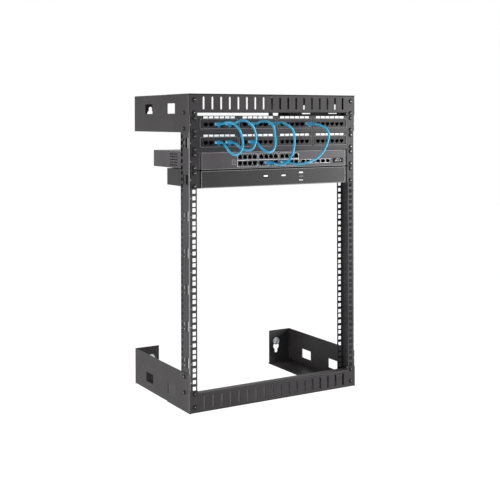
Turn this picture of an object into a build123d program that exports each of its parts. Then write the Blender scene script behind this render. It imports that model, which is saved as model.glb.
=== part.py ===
from build123d import *
from math import pi, radians, tan
import os

# Fifteen-unit open wall rack, with the equipment and patch cords it carries.
# Millimetres. While it is modelled, X runs right from the middle line, Y back from the
# rack's front face and Z up from its bottom edge. Each piece is moved to the origin,
# on the back of the lower left wall flange, as it is written.

# The standard rack grid, the rack's depth, and the height of the tabs above and below it
BAY = 450.0
HOLE_INSET = 7.55
HOLE_SQUARE = 9.5
HOLE_EDGE = 6.35
UNITS = 15
UNIT = 44.45
DEPTH = 325.6
TAB = 53.17

# Folded sheet steel
SHEET = 2.0
BEND = 1.0
RELIEF = 0.5

# Brackets
SIDE_HEIGHT = 94.2
SIDE_SETBACK = 4.0
CROSS_HEIGHT = 46.5
INNER_FLANGE = 21.0
WALL_FLANGE = 70.0
SHELF_FLANGE = 75.5
FRONT_SHELF = 125.0
SLOT_PITCH = 24.31
SLOT_WIDTH = 5.6
SLOT_LENGTH = 31.5
SLOT_RISE = 22.75
WINDOW_LENGTH = 45.0
WINDOW_HEIGHT = 25.4
WINDOW_RISE = 35.3
WINDOW_CORNER = 2.0
FRONT_WINDOW = 100.0
BACK_WINDOW = 232.0
KEY_INSET = 46.75
KEY_RISE = 47.1
KEY_HOLE = 19.0
KEY_SLOT = 10.0
KEY_REACH = 19.0

# Rails
RAIL_WIDTH = 19.75
RAIL_DEPTH = 50.5
WEB_SLOT_LENGTH = 24.0
WEB_SLOT_WIDTH = 12.5
WEB_SLOT_BACK = 9.5
WEB_BAR_WIDTH = 5.0
WEB_BAR_GAP = 2.75
WEB_HOLE_EDGE = 9.0

# Screws and nuts
SCREW = 6.0
SCREW_HEAD = 11.0
HEAD_HEIGHT = 3.4
SIDE_HEAD_HEIGHT = 2.6
SCREW_PLAY = 0.4
SIDE_SCREW_BACK = 29.0
SIDE_SCREW_RISE = 45.9
SIDE_SCREW_DROP = 9.3
SCREW_LENGTH = 16.0
NUT_CAGE = 13.0
NUT_HEIGHT = 6.0
NUT_FIT = 0.3
BOLT = 8.0
BOLT_HEX = 13.0
BOLT_HEAD = 5.5
WASHER = 21.5
WASHER_THICK = 1.6

# Rack unit faces
FACE_GAP = 0.75
FACE_EDGE = 8.75
EAR_SLOT_LENGTH = 12.0
EAR_SLOT_WIDTH = 7.0

# Patch panels, in the two top units
FIELD_PITCH = 109.75
PORTS_PER_FIELD = 6
PORT_PITCH = 15.0
PANEL_LIP = 9.0
MODULE_END = 1.5
MODULE_FRAME = 3.0
MODULE_RIM = 2.0
MODULE_PROUD = 1.2
MODULE_BODY_HEIGHT = 17.5
MODULE_BODY_DEPTH = 17.0
LABEL_HEIGHT = 6.0
LABEL_EDGE = 1.25
LABEL_GAP = 2.05
LABEL_PROUD = 0.6
BOARD_THICK = 1.6
BOARD_HEIGHT = 36.0
BLOCK_DEPTH = 20.0
BLOCK_HEIGHT = 9.0
BLOCK_WIDTH = 42.0
BLOCK_GAP = 5.0
BLOCK_RISE = 9.5

# Network socket: the mouth with its latch notch
MOUTH_WIDTH = 11.7
MOUTH_HEIGHT = 6.8
LATCH_WIDTH = 6.4
LATCH_HEIGHT = 2.6
MOUTH_DEPTH = 13.0

# Switch, in the third unit
BODY_GAP = 5.0
CASE_GAP = 2.05
SWITCH_DEPTH = 258.0
CASE_WALL = 1.2
CASE_RETURN = 4.0
SWITCH_BORDER = 7.0
BEZEL_THICK = 2.0
EAR_LEG = 42.0
EAR_SHEET = 1.6
GROUP_COUNT = 3
GROUP_PITCH = 61.65
GROUP_GAP = 7.2
GROUP_COLUMNS = 4
COLUMN_PITCH = 14.0
UPPER_ROW = 7.1
LOWER_ROW = -6.6
GROUP_HEIGHT = 32.0
GROUP_PROUD = 0.8
GROUP_DEPTH = 16.0
CAGE_COUNT = 6
CAGE_GAP = 25.3
CAGE_PITCH = 15.35
CAGE_WIDTH = 14.2
CAGE_HEIGHT = 10.4
CAGE_WALL = 0.6
CAGE_DROP = 6.8
CAGE_DEPTH = 40.0
CAGE_PROUD = 0.8
SERIAL_INSET = 22.0
SERIAL_WIDTH = 30.9
SERIAL_HEIGHT = 12.5
SERIAL_DROP = 6.3
SERIAL_PROUD = 1.6
SHELL_TOP = 17.0
SHELL_BOTTOM = 14.0
SHELL_HEIGHT = 8.0
SHELL_CORNER = 1.5
SHELL_WALL = 0.8
POST_SPREAD = 25.0
POST = 4.4
VENT_ROWS = 5
VENT_COLUMNS = 4
VENT_PITCH_Z = 7.0
VENT_PITCH_Y = 10.5
VENT_HEIGHT = 3.0
VENT_LENGTH = 8.0
VENT_BACK = 141.0
INLET_X = -150.0
INLET_WIDTH = 28.0
INLET_HEIGHT = 20.5
INLET_DEPTH = 9.0
INLET_WALL = 2.0
INLET_PROUD = 1.0
BLADE_PITCH = 7.0
BLADE_WIDTH = 2.0
BLADE_HEIGHT = 6.0

# Console unit, in the fourth unit
CONSOLE_DEPTH = 176.0
CONSOLE_BORDER = 6.0
BUTTON_START = -31.7
BUTTON_PITCH = 53.1
BUTTON_RISE = 3.5
STACK_RISE = 9.5
STACK_PITCH = 9.75
BUTTON_WIDTH = 7.0
BUTTON_HEIGHT = 2.6
BUTTON_PROUD = 0.5
REAR_PORT_COUNT = 4
REAR_PORT_START = -120.0
REAR_PORT_PITCH = 40.0
REAR_PORT_WIDTH = 31.0
REAR_PORT_HEIGHT = 11.0
REAR_PORT_PROUD = 5.0

# Patch cords and their plugs
CORD = 5.8
PLUG_WIDTH = 11.2
PLUG_HEIGHT = 6.3
PLUG_INSIDE = 11.0
PLUG_OUTSIDE = 8.0
BOOT_LENGTH = 13.0
BOOT_WIDE = 11.0
BOOT_HIGH = 8.6
BOOT_CORNER = 2.0
BOOT_TIP = 7.6
TONGUE_WIDTH = 4.4
TONGUE_THICK = 1.6
TONGUE_INSIDE = 8.0
ARC_SHARE = 0.45

# The origin: on the wall plane, below the left lower keyhole
ORIGIN_RISE = 11.5

# Worked out from the sizes above: the rack
HEIGHT = UNITS * UNIT + 2 * TAB
RAIL_OUTER = BAY / 2 + RAIL_WIDTH
HALF = RAIL_OUTER + SHEET
TAB_INNER = BAY / 2 - BEND
CORNER = SHEET + BEND + RELIEF
RAIL_FRONT = SHEET
RAIL_BACK = RAIL_FRONT + RAIL_DEPTH
RAIL_END = SHEET + BEND
HOLE_X = BAY / 2 + HOLE_INSET
KEY_X = HALF - KEY_INSET
SLOT_COUNT = int(BAY / SLOT_PITCH)
WEB_HOLE_BACK = RAIL_BACK - WEB_HOLE_EDGE
WEB_BAR_BACK = WEB_HOLE_BACK - HOLE_SQUARE / 2 - WEB_BAR_GAP - WEB_BAR_WIDTH
SIDE_SCREW_TOP = SIDE_HEIGHT - SIDE_SCREW_DROP

# What it carries
FACE_HALF = HOLE_X + FACE_EDGE
FACE_HEIGHT = UNIT - FACE_GAP
FIELD_COUNT = int(BAY / FIELD_PITCH)
MODULE_BODY_WIDTH = PORTS_PER_FIELD * PORT_PITCH + 2 * MODULE_END
MODULE_WIDTH = MODULE_BODY_WIDTH + 2 * MODULE_FRAME
MODULE_HEIGHT = MODULE_BODY_HEIGHT + 2 * MODULE_RIM
LABEL_WIDTH = PORTS_PER_FIELD * PORT_PITCH
LABEL_RISE = FACE_HEIGHT / 2 - LABEL_EDGE - LABEL_HEIGHT / 2
MODULE_RISE = LABEL_RISE - LABEL_HEIGHT / 2 - LABEL_GAP - MODULE_HEIGHT / 2
BODY_HALF = BAY / 2 - BODY_GAP
SWITCH_HEIGHT = UNIT - CASE_GAP
SWITCH_HALF = BODY_HALF - SWITCH_BORDER
CONSOLE_HALF = BODY_HALF - CONSOLE_BORDER
SERIAL_X = SWITCH_HALF - SERIAL_INSET
CAGE_START = SERIAL_X - CAGE_GAP - CAGE_COUNT * CAGE_PITCH
GROUP_WIDTH = GROUP_COLUMNS * COLUMN_PITCH
GROUP_MIDDLE = (UPPER_ROW + LOWER_ROW) / 2

TO_ORIGIN = Pos(KEY_X, -DEPTH, -ORIGIN_RISE)


def block(x0, x1, y0, y1, z0, z1):
    """A plain block between two corners."""
    centre = Pos((x0 + x1) / 2, (y0 + y1) / 2, (z0 + z1) / 2)
    return centre * Box(abs(x1 - x0), abs(y1 - y0), abs(z1 - z0))


def folded(points, plane, length):
    """A strip of sheet bent along the points of its middle line."""
    line = FilletPolyline(*points, radius=BEND + SHEET / 2)
    return extrude(plane * trace(line, line_width=SHEET), length)


def rod_y(x, z, radius, y0, y1):
    """A round bar that runs from front to back."""
    return Pos(x, (y0 + y1) / 2, z) * Rot(90, 0, 0) * Cylinder(radius, abs(y1 - y0))


def rod_x(y, z, radius, x0, x1):
    """A round bar that runs across."""
    return Pos((x0 + x1) / 2, y, z) * Rot(0, 90, 0) * Cylinder(radius, abs(x1 - x0))


def mirrored(solid):
    """The same piece on the other side of the middle line."""
    return mirror(solid, about=Plane.YZ)


def upside_down(solid):
    """The same piece mirrored about the rack's mid height."""
    return mirror(solid, about=Plane.XY.offset(HEIGHT / 2))


def unit_middle(number):
    """Height of the middle of a rack unit, counted from the top."""
    return HEIGHT - TAB - (number - 0.5) * UNIT


def hole_rows():
    """Heights of the square holes: the rack grid, and its three more behind each tab."""
    rows = []
    for number in range(0, UNITS + 2):
        top = HEIGHT - TAB - (number - 1) * UNIT
        rows += [top - HOLE_EDGE, top - UNIT / 2, top - UNIT + HOLE_EDGE]
    low = RAIL_END + HOLE_SQUARE / 2
    return [z for z in rows if low < z < HEIGHT - low]


def tab_screw_rises():
    """The outer and the inner hole behind a tab, which take its screws."""
    behind = sorted(z for z in hole_rows() if z < TAB)
    return behind[0], behind[-1]


def side_screw_rises():
    """Two screws in each corner, above and below."""
    return [rise for low in (SIDE_SCREW_RISE, SIDE_SCREW_TOP) for rise in (low, HEIGHT - low)]


# Brackets

def side_windows():
    """The two openings in each side plate, as cutters right across the bracket."""
    plane = Plane.YZ.offset(-2 * HALF)
    cutters = []
    for back in (FRONT_WINDOW, BACK_WINDOW):
        shape = Pos(back, WINDOW_RISE) * RectangleRounded(WINDOW_LENGTH, WINDOW_HEIGHT, WINDOW_CORNER)
        cutters.append(extrude(plane * shape, 4 * HALF))
    return cutters


def keyhole(x):
    """A round hole with a slot above and below, right through the wall flange."""
    plane = Plane.XZ.offset(-DEPTH - SHEET)
    shape = Pos(x, KEY_RISE) * (Circle(KEY_HOLE / 2) + SlotOverall(2 * KEY_REACH, KEY_SLOT, rotation=90))
    return extrude(plane * shape, 3 * SHEET)


def cross_slots():
    """The row of tie slots along the crossbar."""
    plane = Plane.XZ.offset(SHEET)
    first = -(SLOT_COUNT - 1) / 2 * SLOT_PITCH
    shapes = [
        Pos(first + place * SLOT_PITCH, SLOT_RISE) * SlotOverall(SLOT_LENGTH, SLOT_WIDTH, rotation=90)
        for place in range(SLOT_COUNT)
    ]
    return [extrude(plane * shape, -3 * SHEET) for shape in shapes]


def bracket_wrap():
    """Crossbar, side plates and wall flanges, folded from one strip seen from above."""
    side = HALF - SHEET / 2
    front = SHEET / 2
    back = DEPTH - SHEET / 2
    tip = HALF - WALL_FLANGE
    points = [(-tip, back), (-side, back), (-side, front), (side, front), (side, back), (tip, back)]
    wrap = folded(points, Plane.XY, SIDE_HEIGHT)
    above_tabs = block(-2 * HALF, 2 * HALF, -1, SIDE_SETBACK, TAB, SIDE_HEIGHT + 1)
    behind_corner = block(-TAB_INNER, TAB_INNER, -1, SHEET + 1, CROSS_HEIGHT - SHEET - BEND, TAB + 1)
    under_cross = block(-(HALF - CORNER), HALF - CORNER, -1, SHEET + 1, -1, SHEET + BEND)
    under_side = block(-2 * HALF, 2 * HALF, FRONT_SHELF + RELIEF, DEPTH - CORNER, -1, SHEET + BEND)
    return wrap - [above_tabs, behind_corner, under_cross, under_side]


def bracket_folds():
    """The flanges bent back from the crossbar and in from the side plates."""
    wall = SHEET / 2
    leg = SHEET + BEND + RELIEF
    across = Plane.YZ.offset(-TAB_INNER)
    inner = [(wall, CROSS_HEIGHT - leg), (wall, CROSS_HEIGHT - wall), (INNER_FLANGE, CROSS_HEIGHT - wall)]
    folds = [folded(inner, across, 2 * TAB_INNER)]
    outer = [(wall, leg), (wall, wall), (FRONT_SHELF, wall)]
    folds.append(folded(outer, Plane.YZ.offset(-(HALF - CORNER)), 2 * (HALF - CORNER)))
    side = HALF - wall
    shelf = [(side, leg), (side, wall), (HALF - SHELF_FLANGE, wall)]
    start = FRONT_SHELF + RELIEF
    plane = Plane((0, start, 0), x_dir=(1, 0, 0), z_dir=(0, -1, 0))
    right = folded(shelf, plane, -(DEPTH - CORNER - start))
    return folds + [right, mirrored(right)]


def lower_bracket():
    """One folded sheet, with its slots, windows, keyholes and screw holes."""
    body = bracket_wrap() + bracket_folds()
    hole = (SCREW + SCREW_PLAY) / 2
    cuts = cross_slots() + side_windows() + [keyhole(-KEY_X), keyhole(KEY_X)]
    for rise in tab_screw_rises():
        cuts += [rod_y(x, rise, hole, -1, SHEET + 1) for x in (-HOLE_X, HOLE_X)]
    for rise in (SIDE_SCREW_RISE, SIDE_SCREW_TOP):
        cuts.append(rod_x(SIDE_SCREW_BACK, rise, hole, -2 * HALF, 2 * HALF))
    return body - cuts


# Rails

def flange_holes():
    """The square holes of the rack grid, in both flanges."""
    half = HOLE_SQUARE / 2
    return [block(HOLE_X - half, HOLE_X + half, 0, RAIL_BACK + 1, z - half, z + half) for z in hole_rows()]


def web_holes():
    """Square holes along the web's back edge, and pairs of slots nearer its front."""
    cuts = []
    square = HOLE_SQUARE / 2
    inside = RAIL_OUTER - 2 * SHEET
    back = WEB_HOLE_BACK
    for z in hole_rows():
        if SIDE_HEIGHT < z < HEIGHT - SIDE_HEIGHT:
            cuts.append(block(inside, HALF, back - square, back + square, z - square, z + square))
    half = WEB_SLOT_LENGTH / 2
    for number in range(2, UNITS, 2):
        z = unit_middle(number)
        for back, width in ((WEB_SLOT_BACK, WEB_SLOT_WIDTH), (WEB_BAR_BACK, WEB_BAR_WIDTH)):
            cuts.append(block(inside, HALF, back, back + width, z - half, z + half))
    return cuts


def right_rail():
    """A folded channel, open towards the bay."""
    web = RAIL_OUTER - SHEET / 2
    tip = BAY / 2
    front = RAIL_FRONT + SHEET / 2
    back = RAIL_BACK - SHEET / 2
    points = [(tip, front), (web, front), (web, back), (tip, back)]
    rail = folded(points, Plane.XY.offset(RAIL_END), HEIGHT - 2 * RAIL_END)
    hole = (SCREW + SCREW_PLAY) / 2
    screws = [rod_x(SIDE_SCREW_BACK, rise, hole, web - SHEET, HALF) for rise in side_screw_rises()]
    return rail - (flange_holes() + screws)


def left_rail():
    """The same channel on the other side, with the holes that its web shows."""
    return mirrored(right_rail() - web_holes())


# Screws, nuts and wall bolts

def screw_head(height):
    """A low domed head, standing on the XY plane."""
    head = Cylinder(SCREW_HEAD / 2, height, align=(Align.CENTER, Align.CENTER, Align.MIN))
    return fillet(head.edges().group_by(Axis.Z)[-1], height * 0.4)


def front_screw(x, z):
    """A screw in from the front: its head bears on the face at Y = 0."""
    head = Pos(x, 0, z) * Rot(90, 0, 0) * screw_head(HEAD_HEIGHT)
    return head + rod_y(x, z, SCREW / 2, -0.5, SCREW_LENGTH)


def side_screw(side, z):
    """A screw in from the side, through the bracket and the rail's web."""
    head = Pos(HALF, SIDE_SCREW_BACK, z) * Rot(0, 90, 0) * screw_head(SIDE_HEAD_HEIGHT)
    screw = head + rod_x(SIDE_SCREW_BACK, z, SCREW / 2, HALF - 3 * SHEET, HALF + 0.5)
    return screw if side > 0 else mirrored(screw)


def cage_nut(x, z):
    """A square nut in its cage, behind the rail's front flange."""
    square = HOLE_SQUARE / 2 - NUT_FIT
    back = RAIL_FRONT + SHEET
    stub = block(x - square, x + square, RAIL_FRONT, back, z - square, z + square)
    cage = NUT_CAGE / 2
    body = block(x - cage, x + square, back, back + NUT_HEIGHT, z - square, z + square)
    bore = rod_y(x, z, (SCREW + SCREW_PLAY) / 2, 0, back + NUT_HEIGHT + 1)
    return stub + body - bore


def tab_spots():
    """Where the tabs are screwed to the rails."""
    spots = []
    for rise in tab_screw_rises():
        spots += [(x, z) for x in (-HOLE_X, HOLE_X) for z in (rise, HEIGHT - rise)]
    return spots


def unit_spots():
    """Where the four top units are screwed to the rails."""
    spots = []
    for number in (1, 2, 3, 4):
        top = unit_middle(number) + UNIT / 2
        rises = (top - HOLE_EDGE, top - UNIT + HOLE_EDGE)
        spots += [(x, z) for x in (-HOLE_X, HOLE_X) for z in rises]
    return spots


def bolt_rise():
    """The rack hangs with each bolt at the top of its keyhole."""
    return KEY_RISE + KEY_REACH - BOLT / 2


def wall_bolt(x):
    """A hexagon bolt whose shank is cut off flush with the wall."""
    seat = DEPTH - SHEET - WASHER_THICK
    shape = RegularPolygon(BOLT_HEX / 2, 6, major_radius=False)
    head = Pos(x, seat, bolt_rise()) * Rot(90, 0, 0) * extrude(shape, BOLT_HEAD)
    return head + rod_y(x, bolt_rise(), BOLT / 2, seat - 1, DEPTH)


def wall_washer(x):
    """The washer between a bolt's head and the wall flange."""
    seat = DEPTH - SHEET
    disc = rod_y(x, bolt_rise(), WASHER / 2, seat - WASHER_THICK, seat)
    return disc - rod_y(x, bolt_rise(), (BOLT + SCREW_PLAY) / 2, seat - 2 * WASHER_THICK, seat + 1)


# Equipment

def ear_slots(z):
    """Level slots for a unit's four screws."""
    shapes = []
    for x in (-HOLE_X, HOLE_X):
        for side in (-1, 1):
            shape = SlotOverall(EAR_SLOT_LENGTH, EAR_SLOT_WIDTH)
            shapes.append(Pos(x, z + side * (UNIT / 2 - HOLE_EDGE)) * shape)
    plane = Plane.XZ.offset(1)
    return [extrude(plane * shape, -2 * SHEET) for shape in shapes]


def socket(x, y, z, latch):
    """The mouth of a network socket, as a cutter. Its latch notch is below or above."""
    plane = Plane.XZ.offset(-y)
    notch_z = latch * (MOUTH_HEIGHT + LATCH_HEIGHT) / 2
    shape = Rectangle(MOUTH_WIDTH, MOUTH_HEIGHT) + Pos(0, notch_z) * Rectangle(LATCH_WIDTH, LATCH_HEIGHT)
    return extrude(plane * Pos(x, z) * shape, -MOUTH_DEPTH)


def port_places():
    """Places of a field's sockets, from the field's middle."""
    return [(place - (PORTS_PER_FIELD - 1) / 2) * PORT_PITCH for place in range(PORTS_PER_FIELD)]


def field_places():
    """Middles of a panel's fields of sockets."""
    return [(place - (FIELD_COUNT - 1) / 2) * FIELD_PITCH for place in range(FIELD_COUNT)]


def panel_plate(z):
    """A folded steel panel with a window for each module."""
    half = FACE_HEIGHT / 2
    plate = block(-FACE_HALF, FACE_HALF, 0, SHEET, z - half, z + half)
    lip = BAY / 2 - BEND
    for edge in (z - half, z + half - SHEET):
        plate += block(-lip, lip, SHEET, SHEET + PANEL_LIP, edge, edge + SHEET)
    cuts = ear_slots(z)
    wide = MODULE_BODY_WIDTH / 2
    high = MODULE_BODY_HEIGHT / 2
    for x in field_places():
        middle = z + MODULE_RISE
        cuts.append(block(x - wide, x + wide, -1, SHEET + 1, middle - high, middle + high))
    return plate - cuts


def panel_module(x, z):
    """Six sockets in one moulded body, with a frame in front of the panel."""
    middle = z + MODULE_RISE
    wide, high = MODULE_WIDTH / 2, MODULE_HEIGHT / 2
    frame = block(x - wide, x + wide, -MODULE_PROUD, 0, middle - high, middle + high)
    wide, high = MODULE_BODY_WIDTH / 2, MODULE_BODY_HEIGHT / 2
    body = block(x - wide, x + wide, 0, MODULE_BODY_DEPTH, middle - high, middle + high)
    mouths = [socket(x + place, -MODULE_PROUD, z + LATCH_HEIGHT / 2, -1) for place in port_places()]
    return frame + body - mouths


def panel_label(x, z):
    """The clear strip over a module's label fields."""
    wide, high = LABEL_WIDTH / 2, LABEL_HEIGHT / 2
    return block(x - wide, x + wide, -LABEL_PROUD, 0, z + LABEL_RISE - high, z + LABEL_RISE + high)


def panel_board(x, z):
    """The circuit board behind a module."""
    wide, high = MODULE_BODY_WIDTH / 2, BOARD_HEIGHT / 2
    back = MODULE_BODY_DEPTH
    return block(x - wide, x + wide, back, back + BOARD_THICK, z - high, z + high)


def panel_blocks(x, z):
    """Four slotted terminal blocks on a board's back."""
    back = MODULE_BODY_DEPTH + BOARD_THICK
    blocks = []
    for side in (-1, 1):
        for level in (-1, 1):
            middle = x + side * (BLOCK_WIDTH + BLOCK_GAP) / 2
            rise = z + level * BLOCK_RISE
            wide, high = BLOCK_WIDTH / 2, BLOCK_HEIGHT / 2
            body = block(middle - wide, middle + wide, back, back + BLOCK_DEPTH, rise - high, rise + high)
            groove = block(middle - wide, middle + wide, back + BLOCK_DEPTH / 2, back + BLOCK_DEPTH + 1,
                           rise - high / 3, rise + high / 3)
            blocks.append(body - groove)
    return blocks


def unit_ear(z):
    """The angle that fixes a unit's body to the right-hand rail."""
    half = SWITCH_HEIGHT / 2
    face = block(BODY_HALF, FACE_HALF, 0, SHEET, z - half, z + half)
    leg = block(BODY_HALF, BODY_HALF + EAR_SHEET, SHEET, SHEET + EAR_LEG, z - half, z + half)
    return face + leg - ear_slots(z)


def unit_case(z, depth, face_half):
    """A sheet steel case with a narrow return round its open front."""
    half, high = BODY_HALF, SWITCH_HEIGHT / 2
    back = SHEET + depth
    wall = CASE_WALL
    case = block(-half, half, SHEET, back, z - high, z + high)
    case -= block(-half + wall, half - wall, SHEET + wall, back - wall, z - high + wall, z + high - wall)
    wide, high = face_half - CASE_RETURN, high - CASE_RETURN
    return case - block(-wide, wide, 0, SHEET + 2 * wall, z - high, z + high)


def switch_case(z):
    """The switch's case, with vents in its sides and a cut-out for its inlet."""
    half = BODY_HALF
    back = SHEET + SWITCH_DEPTH
    wall = CASE_WALL
    case = unit_case(z, SWITCH_DEPTH, SWITCH_HALF)
    cuts = []
    for row in range(VENT_ROWS):
        rise = z + (row - (VENT_ROWS - 1) / 2) * VENT_PITCH_Z
        for column in range(VENT_COLUMNS):
            y = VENT_BACK + (column - (VENT_COLUMNS - 1) / 2) * VENT_PITCH_Y
            cuts.append(block(-half - 1, half + 1, y - VENT_LENGTH / 2, y + VENT_LENGTH / 2,
                              rise - VENT_HEIGHT / 2, rise + VENT_HEIGHT / 2))
    cuts.append(block(INLET_X - INLET_WIDTH / 2, INLET_X + INLET_WIDTH / 2, back - 2 * wall, back + 1,
                      z - INLET_HEIGHT / 2, z + INLET_HEIGHT / 2))
    return case - cuts


def switch_front(z):
    """The front plate, with windows for the socket groups, cages and serial port."""
    wide, high = SWITCH_HALF, SWITCH_HEIGHT / 2
    plate = block(-wide, wide, SHEET - BEZEL_THICK, SHEET, z - high, z + high)
    middle = z + GROUP_MIDDLE
    cuts = []
    for x in group_places():
        cuts.append(block(x - GROUP_WIDTH / 2, x + GROUP_WIDTH / 2, -1, SHEET + 1,
                          middle - GROUP_HEIGHT / 2, middle + GROUP_HEIGHT / 2))
    for x in cage_places():
        cuts.append(block(x - CAGE_WIDTH / 2, x + CAGE_WIDTH / 2, -1, SHEET + 1,
                          z - CAGE_DROP - CAGE_HEIGHT / 2, z - CAGE_DROP + CAGE_HEIGHT / 2))
    return plate - cuts


def group_places():
    """Middles of the socket groups, the last of which ends beside the cages."""
    last = CAGE_START - GROUP_GAP - GROUP_WIDTH / 2
    return [last - place * GROUP_PITCH for place in range(GROUP_COUNT)]


def cage_places():
    """Middles of the transceiver cages."""
    return [CAGE_START + CAGE_PITCH * (place + 0.5) for place in range(CAGE_COUNT)]


def switch_sockets(x, z):
    """A shielded block of sockets, two rows of four."""
    middle = z + GROUP_MIDDLE
    body = block(x - GROUP_WIDTH / 2, x + GROUP_WIDTH / 2, -GROUP_PROUD, GROUP_DEPTH,
                 middle - GROUP_HEIGHT / 2, middle + GROUP_HEIGHT / 2)
    cuts = []
    for column in range(GROUP_COLUMNS):
        place = x + (column - (GROUP_COLUMNS - 1) / 2) * COLUMN_PITCH
        cuts.append(socket(place, -GROUP_PROUD, z + UPPER_ROW, 1))
        cuts.append(socket(place, -GROUP_PROUD, z + LOWER_ROW, -1))
    return body - cuts


def switch_cage(x, z):
    """An empty transceiver cage, open to the front."""
    half, high = CAGE_WIDTH / 2, CAGE_HEIGHT / 2
    rise = z - CAGE_DROP
    cage = block(x - half, x + half, -CAGE_PROUD, CAGE_DEPTH, rise - high, rise + high)
    return cage - block(x - half + CAGE_WALL, x + half - CAGE_WALL, -CAGE_PROUD - 1, CAGE_DEPTH - CAGE_WALL,
                        rise - high + CAGE_WALL, rise + high - CAGE_WALL)


def serial_port(z):
    """A nine-way shell: wider above than below, on a flange with two posts."""
    rise = z - SERIAL_DROP
    flange = RectangleRounded(SERIAL_WIDTH, SERIAL_HEIGHT, SHELL_CORNER)
    solid = extrude(Plane.XZ * Pos(SERIAL_X, rise) * flange, SERIAL_PROUD / 2)
    top, low, half = SHELL_TOP / 2, SHELL_BOTTOM / 2, SHELL_HEIGHT / 2
    shell = Polygon((-low, -half), (low, -half), (top, half), (-top, half), align=None)
    shell = fillet(shell.vertices(), SHELL_CORNER)
    mouth = offset(shell, -SHELL_WALL)
    solid += extrude(Plane.XZ * Pos(SERIAL_X, rise) * shell, SERIAL_PROUD)
    solid -= extrude(Plane.XZ.offset(SERIAL_PROUD / 4) * Pos(SERIAL_X, rise) * mouth, SERIAL_PROUD)
    for side in (-1, 1):
        solid += rod_y(SERIAL_X + side * POST_SPREAD / 2, rise, POST / 2, -SERIAL_PROUD, 0)
    return solid


def switch_inlet(z):
    """The mains inlet in the back of the case, with its recess and three blades."""
    back = SHEET + SWITCH_DEPTH
    half, high = INLET_WIDTH / 2, INLET_HEIGHT / 2
    wall = INLET_WALL
    body = block(INLET_X - half, INLET_X + half, back - INLET_DEPTH - wall, back + INLET_PROUD,
                 z - high, z + high)
    body -= block(INLET_X - half + wall, INLET_X + half - wall, back - INLET_DEPTH, back + 2 * INLET_PROUD,
                  z - high + wall, z + high - wall)
    wide, high = BLADE_WIDTH / 2, BLADE_HEIGHT / 2
    foot, tip = back - INLET_DEPTH - wall / 2, back - INLET_PROUD
    for place in (-1, 0, 1):
        x = INLET_X + place * BLADE_PITCH
        body += block(x - wide, x + wide, foot, tip, z - high, z + high)
    return body


def console_front(z):
    """The console unit's plain front plate."""
    wide, high = CONSOLE_HALF, SWITCH_HEIGHT / 2
    return block(-wide, wide, SHEET - BEZEL_THICK, SHEET, z - high, z + high)


def console_buttons(z):
    """Small lit buttons on the front plate: two by themselves, and a stack of three."""
    spots = [(BUTTON_START + place * BUTTON_PITCH, BUTTON_RISE) for place in range(2)]
    stack = BUTTON_START + 2 * BUTTON_PITCH
    spots += [(stack, STACK_RISE - place * STACK_PITCH) for place in range(3)]
    shape = SlotOverall(BUTTON_WIDTH, BUTTON_HEIGHT)
    return [extrude(Plane.XZ * Pos(x, z + rise) * shape, BUTTON_PROUD) for x, rise in spots]


def console_rear_ports(z):
    """The row of video sockets on the console unit's back."""
    back = SHEET + CONSOLE_DEPTH
    half, high = REAR_PORT_WIDTH / 2, REAR_PORT_HEIGHT / 2
    places = [REAR_PORT_START + place * REAR_PORT_PITCH for place in range(REAR_PORT_COUNT)]
    return [block(x - half, x + half, back, back + REAR_PORT_PROUD, z - high, z + high) for x in places]


# Patch cords. Each runs from one socket to another; the points between the two plugs
# are chosen by hand, from the middle line, the rack's front face and its bottom edge.

CORDS = {
    "cord_1": [
        (-172.1, -22.2, 699.0), (-172.1, -34.0, 699.0), (-169.0, -45.5, 704.0), (-159.0, -58.5, 702.5),
        (-145.5, -66.0, 687.5), (-134.5, -61.5, 668.5), (-129.0, -57.0, 646.5), (-141.5, -59.5, 625.0),
        (-165.0, -63.5, 625.5), (-177.5, -56.0, 645.5), (-172.1, -34.5, 654.55), (-172.1, -22.2, 654.55),
    ],
    "cord_2": [
        (-142.1, -22.2, 699.0), (-142.1, -34.0, 699.0), (-137.0, -48.5, 706.5), (-122.0, -56.5, 708.0),
        (-102.5, -56.0, 695.5), (-90.0, -51.5, 675.5), (-89.5, -50.5, 655.5), (-101.5, -52.5, 634.5),
        (-127.0, -52.5, 635.5), (-139.0, -44.5, 648.5), (-142.1, -34.0, 654.55), (-142.1, -22.2, 654.55),
    ],
    "cord_3": [
        (-77.4, -22.2, 699.0), (-77.4, -34.0, 699.0), (-73.5, -45.5, 705.5), (-61.0, -58.0, 706.0),
        (-46.0, -62.5, 694.5), (-40.0, -58.0, 674.0), (-34.5, -52.5, 656.0), (-40.0, -54.5, 633.5),
        (-61.5, -59.0, 627.5), (-78.5, -53.5, 641.5), (-77.4, -35.0, 654.55), (-77.4, -22.2, 654.55),
    ],
    "cord_4": [
        (-17.4, -22.2, 699.0), (-17.4, -33.5, 699.0), (-20.0, -51.5, 703.5), (-10.5, -66.5, 698.0),
        (7.5, -69.0, 685.0), (16.0, -61.0, 662.0), (14.5, -60.5, 639.0), (8.0, -61.5, 619.0),
        (-8.5, -59.0, 599.0), (-25.0, -46.5, 598.0), (-30.2, -34.5, 602.2), (-30.2, -22.2, 602.2),
    ],
    "cord_5": [
        (92.4, -22.2, 699.0), (92.4, -36.0, 699.0), (101.0, -47.5, 695.5), (119.5, -54.0, 686.0),
        (125.5, -55.0, 666.5), (116.5, -54.0, 642.0), (102.0, -54.5, 621.0), (79.5, -56.0, 607.0),
        (51.5, -58.0, 600.0), (26.0, -49.5, 597.0), (17.4, -34.5, 602.2), (17.4, -22.2, 602.2),
    ],
}


def corner_radii(points):
    """Each corner's radius: as large as its two runs allow."""
    radii = []
    spots = [Vector(*point) for point in points]
    for before, corner, after in zip(spots, spots[1:], spots[2:]):
        into, out = corner - before, after - corner
        turn = into.get_angle(out)
        radii.append(ARC_SHARE * min(into.length, out.length) / tan(radians(turn / 2)))
    return radii


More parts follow.
